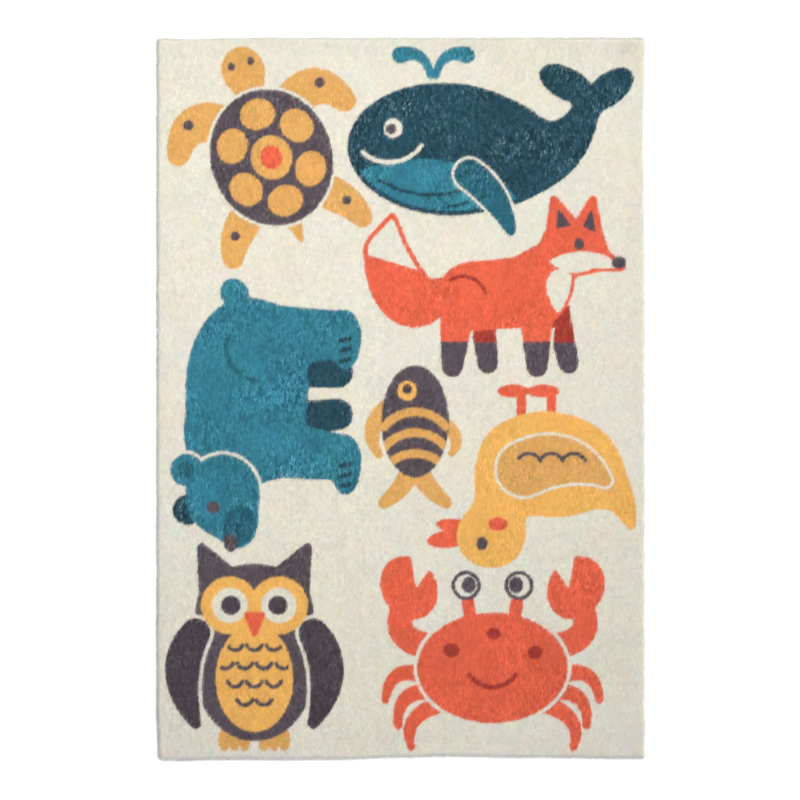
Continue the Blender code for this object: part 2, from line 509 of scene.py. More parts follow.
def fox(x, y):
    """Walking to the right."""
    chest = oval(x, y, 7.6, 4.6, 5.4, 5.8, 35)
    body = merged(bar(x, y, (-6.5, 0.4, 6.6), (5.5, 1.4, 6.8)), chest, 2)
    near = either(
        bar(x, y, (-9.2, -2, 3.4), (-10.2, -13, 2)),
        bar(x, y, (5.8, -2, 3.4), (6, -13, 2)),
    )
    far = either(
        bar(x, y, (-4.6, -3, 2.6), (-3.4, -12.4, 1.9)),
        bar(x, y, (9.6, -2, 2.6), (12, -12.4, 1.9)),
    )
    tail = curl(x, y, (-12, 2, 2), (-19, -5.5, 7.6), (-22.8, 9, 4.4), (-21.6, 15.6, 0.8))
    head = oval(x, y, 13, 9.8, 6.4, 5.5, -10)
    snout = corner(x, y, [(14, 11.2), (14.5, 6.2), (21.8, 6.2)], 1.1)
    ears = either(
        corner(x, y, [(8.4, 12.5), (9.2, 18.8), (13.4, 14)], 0.8),
        corner(x, y, [(13.4, 13.6), (16.6, 18.8), (17.8, 12.2)], 0.8),
    )
    inner_ears = either(
        corner(x, y, [(9.9, 13.6), (10.1, 16.7), (12.2, 14)], 0.2),
        corner(x, y, [(14.9, 13.8), (16.3, 16.6), (17, 12.9)], 0.2),
    )
    front = either(merged(body, merged(head, snout, 1.2), 1.2), ears)
    tip_line = 7.0 - y - 0.3 * (x + 22)
    return [
        ("rust", far),
        ("plum", both(far, y + 8.4)),
        ("orange", tail),
        ("cream", both(tip_line, tail + 0.9)),
        ("cream", both(near - 0.5, y + 5.6)),
        ("orange", either(front, near)),
        ("plum", both(near, y + 8.2)),
        ("cream", both(oval(x, y, 11.4, 0.8, 3.2, 5, 25), body + 0.6)),
        ("cream", both(oval(x, y, 14.2, 5.7, 6.8, 3.2, 3), either(head, snout) + 0.6)),
        ("plum", inner_ears),
        ("plum", oval(x, y, 21.6, 6.9, 1.4, 1.2)),
        ("plum", oval(x, y, 14, 10.4, 0.95, 1.1)),
        ("rust", both(arc(x, y, -8.2, -0.4, 4.6, 20, 120, 0.7), body)),
    ]


def bear(x, y):
    """Walking to the left."""
    body = merged(oval(x, y, 2.5, 2.8, 15.2, 10.2), oval(x, y, -6, 5, 8.2, 8), 3)
    near = either(
        bar(x, y, (-7.5, -2, 4.8), (-8.8, -12, 3.8)),
        bar(x, y, (11, -1, 5.4), (11.6, -12, 3.8)),
    )
    far = either(
        bar(x, y, (-2.6, -4, 3), (-1.8, -12.2, 2.6)),
        bar(x, y, (5.8, -4, 3), (5.2, -12.2, 2.6)),
    )
    feet = either(oval(x, y, -10.2, -13.6, 4.9, 2.5), oval(x, y, 10.6, -13.6, 4.9, 2.5))
    head = merged(oval(x, y, -15.2, 6.8, 6.8, 6.2), oval(x, y, -20.1, 4.4, 3.9, 3.3), 2)
    near_ear = oval(x, y, -11, 12.8, 2.7, 2.7)
    toes = either(*[
        bar(x, y, (foot + toe, -14.2, 0.38), (foot + toe - 0.3, -12.8, 0.38))
        for foot in (-12, 8.8) for toe in (-1.4, 0.3, 2)
    ])
    return [
        ("petrol", far),
        ("teal", either(merged(body, near, 1.6), oval(x, y, 18.2, 4.8, 2.7, 2.3, 30))),
        ("teal", merged(near, feet, 1)),
        ("petrol", oval(x, y, -17.6, 12.6, 2.5, 2.5)),
        ("cream", both(either(head, near_ear) - 0.55, body)),
        ("teal", either(head, near_ear)),
        ("deep_teal", oval(x, y, -11, 12.8, 1.35, 1.35)),
        ("deep_teal", both(oval(x, y, -20.8, 3.9, 3.9, 2.9), head + 0.5)),
        ("plum", oval(x, y, -23.1, 5.5, 1.5, 1.2, 10)),
        ("plum", oval(x, y, -17.2, 8.4, 0.95, 1.1)),
        ("petrol", toes),
        ("deep_teal", both(arc(x, y, 9.5, 0.5, 5.8, 70, 175, 0.8), body + 0.5)),
    ]


def duck(x, y):
    """Standing, and facing right."""
    rump = curl(x, y, (-9, -1, 4.6), (-14.5, 1, 3.3), (-16.2, 7.6, 0.8))
    body = merged(oval(x, y, -2, -3, 12.6, 9.2, -6), rump, 2.5)
    neck = bar(x, y, (6, 0.5, 5), (7.2, 7, 4))
    head = oval(x, y, 8.2, 9.4, 6, 5.7)
    bill = either(oval(x, y, 15.2, 9.9, 4.2, 1.6, 8), oval(x, y, 14.6, 7.7, 3.2, 1.2, -6))
    wing = curl(x, y, (2.5, -2.2, 4.7), (-5, -6, 5), (-11.8, -0.2, 1))
    feathers = either(*[arc(x, y, 1.6 - 3.9 * n, -2.6, 2.3, 205, 320, 0.65) for n in range(3)])
    legs = either(*[bar(x, y, (place, -10.8, 0.8), (place, -15, 0.8)) for place in (-2.3, 2.9)])
    webs = either(*[oval(x, y, place + 1.4, -15.8, 2.8, 1.15) for place in (-2.3, 2.9)])
    return [
        ("orange", either(legs, webs, bill)),
        ("yellow", merged(merged(body, neck, 2.5), head, 2)),
        ("cream", wing - 0.5),
        ("ochre", wing),
        ("plum", feathers),
        ("plum", oval(x, y, 9.8, 10.8, 1, 1.15)),
        ("orange", oval(x, y, 7, 7.4, 1.7, 1.2)),
    ]


def crab(x, y):
    """Seen from the front."""
    body = oval(x, y, 0, 0, 12.8, 9.4)
    legs = either(
        pair(curl, x, y, (10, -2, 1.5), (17.4, 1.5, 1.4), (18.2, -5.4, 0.7)),
        pair(curl, x, y, (9, -4.2, 1.5), (16.5, -3, 1.4), (16, -9.8, 0.7)),
        pair(curl, x, y, (8, -6, 1.5), (15.6, -7.8, 1.4), (13.8, -13.4, 0.7)),
    )
    arms = pair(curl, x, y, (9, 3.5, 2.2), (17.5, 4, 2.3), (15.4, 10, 2))
    notches = pair(corner, x, y, [(12.9, 14), (8.6, 20), (14, 20.6)], 0.2)
    claws = both(pair(oval, x, y, 14.2, 13.6, 5.6, 4.7, 62), -notches)
    eye_stalks = pair(bar, x, y, (3.4, 6, 1.1), (4.3, 12, 1.1))
    whites = pair(oval, x, y, 4.5, 14, 2.5, 2.5)
    pupils = pair(oval, x, y, 4, 14.1, 1.2, 1.4)
    spots = either(
        oval(x, y, -7, 3, 1.4, 1.2),
        oval(x, y, 7.2, 2.6, 1.3, 1.1),
        oval(x, y, 0.2, 5.8, 1.2, 1),
    )
    return [
        ("orange", either(legs, arms, claws)),
        ("cream", body - 0.6),
        ("orange", either(body, eye_stalks)),
        ("rust", either(arc(x, y, 0, 1.5, 4.8, 215, 325, 0.85), spots)),
        ("plum", whites),
        ("cream", whites + 0.65),
        ("plum", pupils),
    ]


def owl(x, y):
    """Seen from the front."""
    body = merged(oval(x, y, 0, -3, 10.4, 12.9), oval(x, y, 0, 6.5, 10, 7.8), 3)
    ears = pair(corner, x, y, [(2.8, 12), (9, 17), (8.6, 8)], 0.8)
    wings = pair(curl, x, y, (10, 2.5, 2.5), (14.6, -4, 4), (10, -12.8, 1))
    toes = either(*[pair(oval, x, y, place, -15.6, 1, 2) for place in (1.7, 3.4, 5.1)])
    feathers = [
        arc(x, y, (n - (count - 1) / 2) * 3.3, 0.9 - 3.1 * row, 1.35, 200, 340, 0.7)
        for row, count in enumerate((3, 4, 3, 2)) for n in range(count)
    ]
    belly = oval(x, y, 0, -5.2, 6.6, 9.1)
    return [
        ("ochre", toes),
        ("plum", either(body, ears)),
        ("cream", both(wings - 0.6, body - 0.1)),
        ("dark_plum", wings),
        ("yellow", belly),
        ("plum", both(either(*feathers), belly + 0.6)),
        ("yellow", pair(oval, x, y, 4.2, 7.2, 4.9, 4.9)),
        ("cream", pair(oval, x, y, 4.2, 7.2, 3, 3)),
        ("dark_plum", pair(oval, x, y, 4, 7.2, 1.65, 1.65)),
        ("orange", corner(x, y, [(-1.3, 5.6), (1.3, 5.6), (0, 2.4)], 0.5)),
    ]


def fish(x, y):
    """Swimming to the right."""
    body = oval(x, y, 1.5, 0, 8.6, 5.2)
    tail = either(*[
        curl(x, y, (-5, side * 0.4, 1.4), (-8.5, side * 1.2, 1.8), (-11, side * 4.8, 0.9))
        for side in (1, -1)
    ])
    fins = either(
        curl(x, y, (4, 4, 1.2), (0.5, 8.2, 1.6), (-3.6, 5.6, 0.6)),
        curl(x, y, (1.5, -4, 1), (-1, -7.6, 1.2), (-3.4, -5.6, 0.5)),
    )
    stripes = either(*[arc(x, y, place - 6, 0, 6, -52, 52, 1.3) for place in (-3.4, -0.2, 3)])
    return [
        ("ochre", either(tail, fins)),
        ("plum", body),
        ("ochre", both(stripes, body + 0.01)),
        ("yellow", oval(x, y, 6.2, 1.2, 1.5, 1.5)),
        ("dark_plum", oval(x, y, 6.5, 1.2, 0.75, 0.75)),
    ]


# Dyes of the print: colour in sRGB, and how much it varies from wisp to wisp.
DYES = {
    "cream": ((236, 232, 218), 0.052),
    "petrol": ((43, 81, 96), 0.46),
    "deep_teal": ((46, 107, 126), 0.40),
    "teal": ((58, 133, 154), 0.40),
    "ochre": ((231, 178, 105), 0.11),
    "yellow": ((247, 192, 106), 0.11),
    "orange": ((237, 109, 80), 0.18),
    "rust": ((176, 66, 56), 0.24),
    "plum": ((97, 87, 95), 0.28),
    "dark_plum": ((84, 74, 83), 0.30),
}

# Motif, place of its middle in metres, turn in degrees anticlockwise, and how many times its drawn size.
LAYOUT = (
    (whale, 0.151, 0.520, 0, 1.13),
    (tortoise, -0.266, 0.497, 18, 1.05),
    (bear, -0.280, -0.011, 90, 1.23),
    (fox, 0.214, 0.204, 0, 1.07),
    (duck, 0.280, -0.170, 180, 1.17),
    (owl, -0.299, -0.509, 0, 1.20),
    (crab, 0.187, -0.550, 0, 1.20),
    (fish, 0.029, -0.067, 90, 1.33),
)
MOTIF_REACH = 32
PRINT_SOFTNESS = 0.08
CENTIMETRES = 100


def dye(name):
    """A dye's colour as linear light, and how much it varies, in one row."""
    colour, varies = DYES[name]
    return np.append(linear(colour), varies)


def printed(x, y):
    """The print's dyes at these places, each as a row of colour and how much it varies."""
    dyes = np.empty(x.shape + (4,))
    dyes[:] = dye("cream")
    for motif, middle_x, middle_y, turn, size in LAYOUT:
        u, v = turned((x - middle_x) * CENTIMETRES / size, (y - middle_y) * CENTIMETRES / size, turn)
        near = np.nonzero(np.hypot(u, v) < MOTIF_REACH)
        for name, distance in motif(u[near], v[near]):
            cover = np.clip(0.5 - distance / (2 * PRINT_SOFTNESS), 0, 1)[:, None]
            dyes[near] += (dye(name) - dyes[near]) * cover
    return dyes


# ---- meshes
COLOUR_LAYER = "pile_colour"


def new_piece(name, places, faces, material, colours=None, normals=None):
    """A mesh object from arrays of places and triangles, with a colour and a normal for each place."""
    mesh = bpy.data.meshes.new(name)
    mesh.vertices.add(len(places))
    mesh.vertices.foreach_set("co", places.astype(np.float32).ravel())
    mesh.loops.add(faces.size)
    mesh.loops.foreach_set("vertex_index", faces.astype(np.int32).ravel())
    mesh.polygons.add(len(faces))
    mesh.polygons.foreach_set("loop_start", np.arange(0, faces.size, 3, dtype=np.int32))
    mesh.update(calc_edges=True)
    mesh.validate()
    mesh.shade_smooth()
    if normals is not None:
        mesh.normals_split_custom_set_from_vertices(normals)
    if colours is not None:
        layer = mesh.attributes.new(COLOUR_LAYER, "FLOAT_COLOR", "POINT")
        opaque = np.ones((len(places), 1))
        layer.data.foreach_set("color", np.hstack([colours, opaque]).astype(np.float32).ravel())
    lay_flat_map(mesh, places, faces)
    mesh.materials.append(material)
    return placed(name, mesh)


def lay_flat_map(mesh, places, faces):
    """A map seen from above that fills its square."""
    low = places.min(axis=0)[:2]
    span = places.max(axis=0)[:2] - low
    flat = (places[faces.ravel(), :2] - low) / span
    mesh.uv_layers.new(name="OFBake").data.foreach_set("uv", flat.astype(np.float32).ravel())


def grid_faces(columns, rows, first=0, flip=False):
    """Triangles of a grid of places, numbered along each column in turn."""
    i, j = np.meshgrid(np.arange(columns - 1), np.arange(rows - 1), indexing="ij")
    a = (first + i * rows + j).ravel()
    b = a + rows
    faces = np.concatenate([np.stack([a, b, b + 1], 1), np.stack([a, b + 1, a + 1], 1)])
    return faces[:, ::-1] if flip else faces


def rim_numbers(columns, rows):
    """Numbers of a grid's outermost places, anticlockwise."""
    numbers = np.arange(columns * rows).reshape(columns, rows)
    return np.concatenate([numbers[:-1, 0], numbers[-1, :-1], numbers[:0:-1, -1], numbers[0, :0:-1]])


def wall_faces(lower, upper):
    """Triangles between two rings of place numbers, both anticlockwise."""
    next_lower = np.roll(lower, -1)
    next_upper = np.roll(upper, -1)
    return np.concatenate([
        np.stack([lower, next_lower, next_upper], 1),
        np.stack([lower, next_upper, upper], 1),
    ])


def even_insets(size, rim, spacing):
    """Insets of grid lines: the rim's own, an even field between, and the rim's again."""
    spaces = round((size - 2 * rim[-1]) / spacing)
    field = np.linspace(rim[-1], size - rim[-1], spaces + 1)
    return np.concatenate([rim[:-1], field, size - np.array(rim[:-1])[::-1]])


# ---- pieces
def make_ground_cloth(form, material):
    """A thin closed sheet with softly rounded edges."""
    rim = [CLOTH_INSET, CLOTH_INSET + CLOTH_EDGE, CLOTH_INSET + CLOTH_RIM]
    x, y = form.grid(rim, CLOTH_SPACING)
    ring = rim_numbers(*x.shape)
    upper = np.stack([x, y, np.full(x.shape, CLOTH_THICKNESS)], -1).reshape(-1, 3)
    lower = upper.copy()
    lower[:, 2] = 0
    upper[ring, 2] -= CLOTH_EDGE
    lower[ring, 2] += CLOTH_EDGE
    count = len(upper)
    faces = np.concatenate([
        grid_faces(*x.shape),
        grid_faces(*x.shape, first=count, flip=True),
        wall_faces(ring + count, ring),
    ])
    return new_piece("ground_cloth", np.concatenate([upper, lower]), faces, material)


def make_pile_bed(form, material):
    """The lower part of the pile as one closed form on the ground cloth."""
    steps = range(BED_ROLL_STEPS + 1)
    rim = [BED_INSET + BED_ROLL * (1 - math.cos(math.pi / 2 * step / BED_ROLL_STEPS)) for step in steps]
    x, y = form.grid(rim, BED_SPACING)
    shade = waver(x, y, BED_LUMPS["size"], BED_LUMPS["seed"])
    height = form.bed(x, y) + BED_LUMPS["height"] * shade
    ring = rim_numbers(*x.shape)
    upper = np.stack([x, y, height], -1).reshape(-1, 3)
    upper[ring, 2] = BED_FOOT
    foot = np.array([[0.0, 0.0, BED_FOOT]])
    middle = np.full(len(ring), len(upper))
    faces = np.concatenate([grid_faces(*x.shape), np.stack([np.roll(ring, -1), ring, middle], 1)])
    # The bed's print is darkened by painted shade, as deep in the pile.
    colours = printed(x, y)[..., :3].reshape(-1, 3) * BED_PAINTED_SHADE
    # Painted shade in the hollows of the bed's lumps, painted light on their crests.
    colours = colours * (1 + BED_LUMPS["darker"] * shade.reshape(-1, 1))
    colours = np.concatenate([colours, dye("cream")[None, :3] * BED_PAINTED_SHADE])
    return new_piece("pile_bed", np.concatenate([upper, foot]), faces, material, colours)


def lumps(x, y, row):
    """Height of small soft lumps at each place."""
    return row["height"] * waver(x, y, row["size"], row["seed"])


def rim_end(x, y, draws):
    """How far in from the outline each tip that reaches for the rim ends, below zero past it."""
    return lumps(x, y, RIM_LUMPS) + draws.normal(RIM_END, RIM_STRAYS, len(x))


def swirl(x, y):
    """How far the pile strays sideways at each place."""
    return sum(step["reach"] * waver(x, y, step["size"], step["seed"]) for step in SWIRLS)


def lie(x, y):
    """The way that the brushed pile lies: towards the foot, with its swirl."""
    sideways = (swirl(x, y + SWIRL_STEP) - swirl(x, y - SWIRL_STEP)) / (2 * SWIRL_STEP)
    length = np.hypot(sideways, 1)
    return sideways / length, -1 / length


def wisps(x, y):
    """The wisp that each place belongs to: the way to its middle, and its own two random numbers."""
    own = np.random.default_rng(SEED).random((WISP_CELLS, WISP_CELLS, 4))
    u = (x + swirl(x, y)) / WISP_WIDTH
    v = y / WISP_LENGTH
    column = np.floor(u).astype(int)
    row = np.floor(v).astype(int)
    nearest = np.full(x.shape, np.inf)
    found = np.zeros(x.shape + (4,))
    for i in (-1, 0, 1):
        for j in (-1, 0, 1):
            cell = own[(column + i) % WISP_CELLS, (row + j) % WISP_CELLS]
            off_u = column + i + cell[..., 0] - u
            off_v = row + j + cell[..., 1] - v
            distance = np.hypot(off_u, off_v)
            nearer = distance < nearest
            nearest = np.where(nearer, distance, nearest)
            middle = np.stack([off_u, off_v, cell[..., 2], cell[..., 3]], -1)
            found = np.where(nearer[..., None], middle, found)
    return found[..., 0] * WISP_WIDTH, found[..., 1] * WISP_LENGTH, found[..., 2:]


def field_places(form, draws):
    """Jittered places of the tufts all over the bed."""
    pitch_y = TUFT_PITCH * math.sqrt(3) / 2
    across = np.arange(form.low.x, form.high.x, TUFT_PITCH)
    along = np.arange(form.low.y, form.high.y, pitch_y)
    x, y = np.meshgrid(across, along)
    x[1::2] += TUFT_PITCH / 2
    x = x.ravel() + draws.uniform(-TUFT_JITTER, TUFT_JITTER, x.size) * TUFT_PITCH
    y = y.ravel() + draws.uniform(-TUFT_JITTER, TUFT_JITTER, y.size) * pitch_y
    kept = form.inset(x, y)[0] > BED_INSET + TUFT_MARGIN
    return x[kept], y[kept]


def field_tufts(form, draws):
    """Roots, tips, radii and shades of the tufts that stand on the bed."""
    x, y = field_places(form, draws)
    count = len(x)
    lie_x, lie_y = lie(x, y)
    way_x, way_y, own = wisps(x, y)
    inset, out_x, out_y = form.inset(x, y)
    outward = np.clip(1 - inset / RIM_REACH, 0, 1) ** RIM_TURN_POWER
    turn = (own[:, 0] - 0.5) * WISP_TURN + draws.normal(0, TUFT_TURN_STRAYS, count)
    bent_x = lie_x * np.cos(turn) - lie_y * np.sin(turn)
    bent_y = lie_x * np.sin(turn) + lie_y * np.cos(turn)
    lean_x = bent_x * (1 - outward) + out_x * outward
    lean_y = bent_y * (1 - outward) + out_y * outward
    reach = TUFT_REACH * draws.uniform(*TUFT_REACH_SPREAD, count)
    along = way_x * lie_x + way_y * lie_y
    side_x = way_x - along * lie_x
    side_y = way_y - along * lie_y
    pull = 1 - outward
    tip_x = x + lean_x * reach + (side_x * WISP_PULL_ACROSS + along * lie_x * WISP_PULL_ALONG) * pull
    tip_y = y + lean_y * reach + (side_y * WISP_PULL_ACROSS + along * lie_y * WISP_PULL_ALONG) * pull
    tip_x, tip_y = form.settled(tip_x, tip_y, rim_end(tip_x, tip_y, draws))
    off_axis = np.clip(np.hypot(side_x, side_y) / (WISP_WIDTH / 2), 0, WISP_CROWN_END)
    drop = TIP_DROP["least"] + WISP_CROWN * off_axis**2
    drop += draws.uniform(0, TIP_DROP["from_tuft_to_tuft"], count)
    drop += TIP_DROP["from_wisp_to_wisp"] * own[:, 1]
    drop *= RIM_DROP_SHARE + (1 - RIM_DROP_SHARE) * pull
    tip_z = form.top(tip_x, tip_y) + lumps(tip_x, tip_y, TOP_LUMPS) - drop
    root = np.stack([x, y, form.bed(x, y) - TUFT_SUNK], 1)
    tip = np.stack([tip_x, tip_y, tip_z], 1)
    shade = own[:, 1] * 2 - 1 + draws.normal(0, TUFT_SHADE_STRAYS, count)
    radius = TUFT_RADIUS * draws.uniform(*TUFT_RADIUS_SPREAD, count)
    return root, tip, radius, shade


def rim_places(form, inset):
    """Places along the whole outline, at this inset."""
    across = np.arange(form.low.x + inset, form.high.x - inset, RIM_PITCH)
    along = np.arange(form.low.y + inset, form.high.y - inset, RIM_PITCH)
    left, right = form.sides(along)
    foot, head = form.ends(across)
    x = np.concatenate([left + inset, right - inset, across, across])
    y = np.concatenate([along, along, foot + inset, head - inset])
    return form.settled(x, y, inset)


def rim_tufts(form, draws):
    """Roots, tips, radii and shades of the tufts that hang out over the rim."""
    roots = []
    tips = []
    for level in RIM_ROWS:
        rise = (level - BED_FOOT) / (RIM_ROWS[-1] - BED_FOOT)
        inset = RIM_ROOT_INSET + RIM_ROOT_SLOPE * max(rise, 0) ** 2
        x, y = rim_places(form, inset)
        count = len(x)
        x = x + draws.normal(0, RIM_JITTER, count)
        y = y + draws.normal(0, RIM_JITTER, count)
        _, out_x, out_y = form.inset(x, y)
        swing = np.clip(draws.normal(0, RIM_SWING_STRAYS, count), -RIM_SWING_MOST, RIM_SWING_MOST)
        lean_x = out_x - out_y * swing
        lean_y = out_y + out_x * swing - RIM_LEAN_TO_FOOT * np.abs(out_x)
        reach = (inset + RIM_OVERHANG) * draws.uniform(*RIM_REACH_SPREAD, count)
        tip_x = x + lean_x * reach
        tip_y = y + lean_y * reach
        tip_x, tip_y = form.settled(tip_x, tip_y, rim_end(tip_x, tip_y, draws))
        tip_z = level + draws.uniform(*RIM_TIP_RISE, count)
        roots.append(np.stack([x, y, np.full(count, level)], 1))
        tips.append(np.stack([tip_x, tip_y, np.maximum(tip_z, TIP_CLEARANCE)], 1))
    root = np.concatenate(roots)
    radius = TUFT_RADIUS * draws.uniform(*RIM_RADIUS_SPREAD, len(root))
    root[:, 2] = np.maximum(root[:, 2], radius + ROOT_CLEARANCE)
    return root, np.concatenate(tips), radius, draws.normal(0, RIM_SHADE_STRAYS, len(root))


def cloud(x, y, row):
    """A row's smooth change of colour at each place."""
    return waver(x, y, row["size"], row["seed"])[:, None] * np.array(row["change"])


def pile_tint(x, y, inset):
    """The tint of the whole pile at each place: its clouds, the painted light on its rim, the painted
    shade towards its head and the painted shade of a corner patch.
    """
    tint = 1 + sum(cloud(x, y, row) for row in TINTS)
    side = np.clip(1 - inset / RIM_PAINTED_LIGHT["reach"], 0, 1)[:, None]
    # Painted shade towards the head, fading out to the right.
    head = HEAD_PAINTED_SHADE["darker"] * np.exp((y - HEAD_PAINTED_SHADE["place"]) / HEAD_PAINTED_SHADE["reach"])
    head *= np.interp(x, HEAD_PAINTED_SHADE["fades_over"], (1, 0))
    # The painted shade of the corner patch.
    shade_patch_x, shade_patch_y = CORNER_PAINTED_SHADE["place"]
    reach_x, reach_y = CORNER_PAINTED_SHADE["reach"]
    far = ((x - shade_patch_x) / reach_x) ** 2 + ((y - shade_patch_y) / reach_y) ** 2
    # Painted cool light on the rim, and the painted shade of the head, which stops short of the rim.
    tint *= (1 + side * np.array(RIM_PAINTED_LIGHT["change"])) * (1 - head[:, None] * (1 - side))
    return tint * (1 - CORNER_PAINTED_SHADE["darker"] * np.exp(-far))[:, None]


def tuft_colours(root, tip, shade, inset, draws):
    """Print colours at each tuft's root and tip. They vary from wisp to wisp as their dyes do, and the
    palest wisps show some undyed fibre."""
    x, y = tip[:, 0], tip[:, 1]
    stray = draws.normal(0, PRINT_STRAYS, (2, len(tip)))
    brushed = BRUSHED["middle"] + BRUSHED["swing"] * waver(x, y, BRUSHED["size"], BRUSHED["seed"])
    shade = (shade * brushed)[:, None]
    tint = pile_tint(x, y, inset)
    patch = cloud(x, y, DYE_DEPTH) + cloud(x, y, DYE_HUE)
    colours = []
    # depth is painted shade: the roots are darker than the tips, as deep in the pile.
    for share, depth in COLOUR_PLACES:
        over = root + (tip - root) * share
        dyes = printed(over[:, 0] + stray[0], over[:, 1] + stray[1])
        colour = dyes[:, :3]
        varies = dyes[:, 3:]
        paler = UNDYED_SHARE * varies * np.clip(shade, 0, None) ** UNDYED_POWER
        colour = colour + (dye("cream")[:3] - colour) * paler
        shaded = np.clip(1 + varies * shade, DARKEST_SHADE, None)
        colours.append(colour * tint * depth * (1 + patch * varies) * shaded)
    return colours


def tuft_corners(root, tip, radius, facing):
    """Four places for each tuft, three around its root and its tip, and their normals, bent towards the
    way that the pile's whole surface faces there."""
    axis = tip - root
    axis /= np.linalg.norm(axis, axis=1, keepdims=True)
    side = np.cross(axis, (0.0, 0.0, 1.0))
    side /= np.linalg.norm(side, axis=1, keepdims=True) + TINY
    back = np.cross(side, axis)
    corners = []
    normals = []
    for angle in ROOT_ANGLES:
        around = back * math.sin(math.radians(angle)) + side * math.cos(math.radians(angle))
        corners.append(root + around * radius[:, None])
        normals.append(around)
    corners.append(tip)
    normals.append(axis)
    normals = np.stack(normals, 1) * (1 - NORMAL_LIFT) + facing[:, None] * NORMAL_LIFT
    normals /= np.linalg.norm(normals, axis=2, keepdims=True)
    return np.stack(corners, 1), normals


def make_tufts(form, material):
    """All the tufts, in strips that run the whole length of the rug."""
    draws = np.random.default_rng(SEED + 1)
    sets = [field_tufts(form, draws), rim_tufts(form, draws)]
    root, tip, radius, shade = (np.concatenate(columns) for columns in zip(*sets))
    inset = form.inset(tip[:, 0], tip[:, 1])[0]
    root_colour, tip_colour = tuft_colours(root, tip, shade, inset, draws)
    corners, normals = tuft_corners(root, tip, radius, form.facing(tip[:, 0], tip[:, 1]))
    colours = np.stack([root_colour, root_colour, root_colour, tip_colour], 1)
    width = form.wide / TUFT_STRIPS
    strip = np.clip(((root[:, 0] - form.low.x) / width).astype(int), 0, TUFT_STRIPS - 1)
    pieces = []
    for number in range(TUFT_STRIPS):
        chosen = np.nonzero(strip == number)[0]
        first = 4 * np.arange(len(chosen))[:, None]
        faces = np.concatenate([first + np.array(face) for face in TUFT_FACES])
        numbers = (corners[chosen], colours[chosen], normals[chosen])
        places, shades, facing = (values.reshape(-1, 3) for values in numbers)
        pieces.append(new_piece(f"tufts_{number + 1}", places, faces, material, shades, facing))
    return pieces


# ---- materials
WHITE = (1.0, 1.0, 1.0, 1.0)
NOISE_RANGE = (0.3, 0.7)
RANGE_ENDS = ("From Min", "From Max", "To Min", "To Max")

# Pile: soft matte fibre with fine streaks along its lie.
PILE_STREAKS = {"scale": 620.0, "stretch": (1.0, 0.35, 1.0), "detail": 3.0}
PILE_TONE = (0.95, 1.04)
PILE_ROUGHNESS = (0.96, 0.84)
PILE_BUMP = {"Strength": 0.35, "Distance": 0.0004}
PILE_SHEEN = {
    "Specular IOR Level": 0.15,
    "Sheen Weight": 0.22,
    "Sheen Roughness": 0.45,
    "Sheen Tint": (1.0, 0.98, 0.94, 1.0),
}

# Ground cloth: undyed threads, darker between them.
WEAVE = {"Scale": 180.0, "Distortion": 0.6, "Detail": 1.0}
WEAVE_COLOURS = {"A": (0.42, 0.38, 0.30, 1.0), "B": (0.70, 0.65, 0.54, 1.0)}
WEAVE_BUMP = {"Strength": 0.5, "Distance": 0.0005}
CLOTH_SURFACE = {"Roughness": 0.92, "Specular IOR Level": 0.2}

# Floor
FLOOR_MOTTLE = {"scale": 3.0, "stretch": (1.0, 1.0, 1.0), "detail": 2.0}
FLOOR_ROUGHNESS = (0.86, 0.84)
FLOOR_SURFACE = {
    "Base Color": (0.90, 0.90, 0.90, 1.0),
    "Specular IOR Level": 0.1,
    "Emission Color": WHITE,
}
GLOW_DISTANCES = (1.2, 2.6)
GLOW_STRENGTHS = (0.15, 0.50)


def new_material(name):
    """A material, its node tree and its shader."""
    material = bpy.data.materials.new(name)
    material.use_nodes = True
    return material, material.node_tree, material.node_tree.nodes["Principled BSDF"]


def set_inputs(node, values):
    for name, value in values.items():
        node.inputs[name].default_value = value


def new_node(tree, kind, values=None):
    node = tree.nodes.new("ShaderNode" + kind)
    set_inputs(node, values or {})
    return node


def own_frame(tree):
    """Each place in the piece's own frame."""
    return new_node(tree, "TexCoord").outputs["Object"]


def stretched_noise(tree, row):
    """Noise in the piece's own frame. A stretch below one draws it out."""
    stretch = new_node(tree, "Mapping", {"Scale": row["stretch"]})
    noise = new_node(tree, "TexNoise", {"Scale": row["scale"], "Detail": row["detail"]})
    tree.links.new(own_frame(tree), stretch.inputs["Vector"])
    tree.links.new(stretch.outputs["Vector"], noise.inputs["Vector"])
    return noise.outputs["Fac"]


def ranged(tree, value, taken, given, blend="LINEAR"):
    """A value with its own range spread over another."""
    spread = new_node(tree, "MapRange", dict(zip(RANGE_ENDS, taken + given)))
    spread.interpolation_type = blend
    tree.links.new(value, spread.inputs["Value"])
    return spread.outputs["Result"]


def mixed_colour(tree, blend, values):
    mix = new_node(tree, "Mix")
    mix.data_type = "RGBA"
    mix.blend_type = blend
    set_inputs(mix, values)
    return mix


def add_bump(tree, shader, height, depth):
    bump = new_node(tree, "Bump", depth)
    tree.links.new(height, bump.inputs["Height"])
    tree.links.new(bump.outputs["Normal"], shader.inputs["Normal"])


def make_pile_material():
    """Fibre in the print's colours."""
    material, tree, shader = new_material("printed_pile")
    print_colour = new_node(tree, "Attribute")
    print_colour.attribute_name = COLOUR_LAYER
    streaks = stretched_noise(tree, PILE_STREAKS)
    tone = mixed_colour(tree, "MULTIPLY", {"Factor": 1.0})
    tree.links.new(print_colour.outputs["Color"], tone.inputs["A"])
    tree.links.new(ranged(tree, streaks, NOISE_RANGE, PILE_TONE), tone.inputs["B"])
    tree.links.new(tone.outputs["Result"], shader.inputs["Base Color"])
    tree.links.new(ranged(tree, streaks, NOISE_RANGE, PILE_ROUGHNESS), shader.inputs["Roughness"])
    add_bump(tree, shader, streaks, PILE_BUMP)
    set_inputs(shader, PILE_SHEEN)
    return material


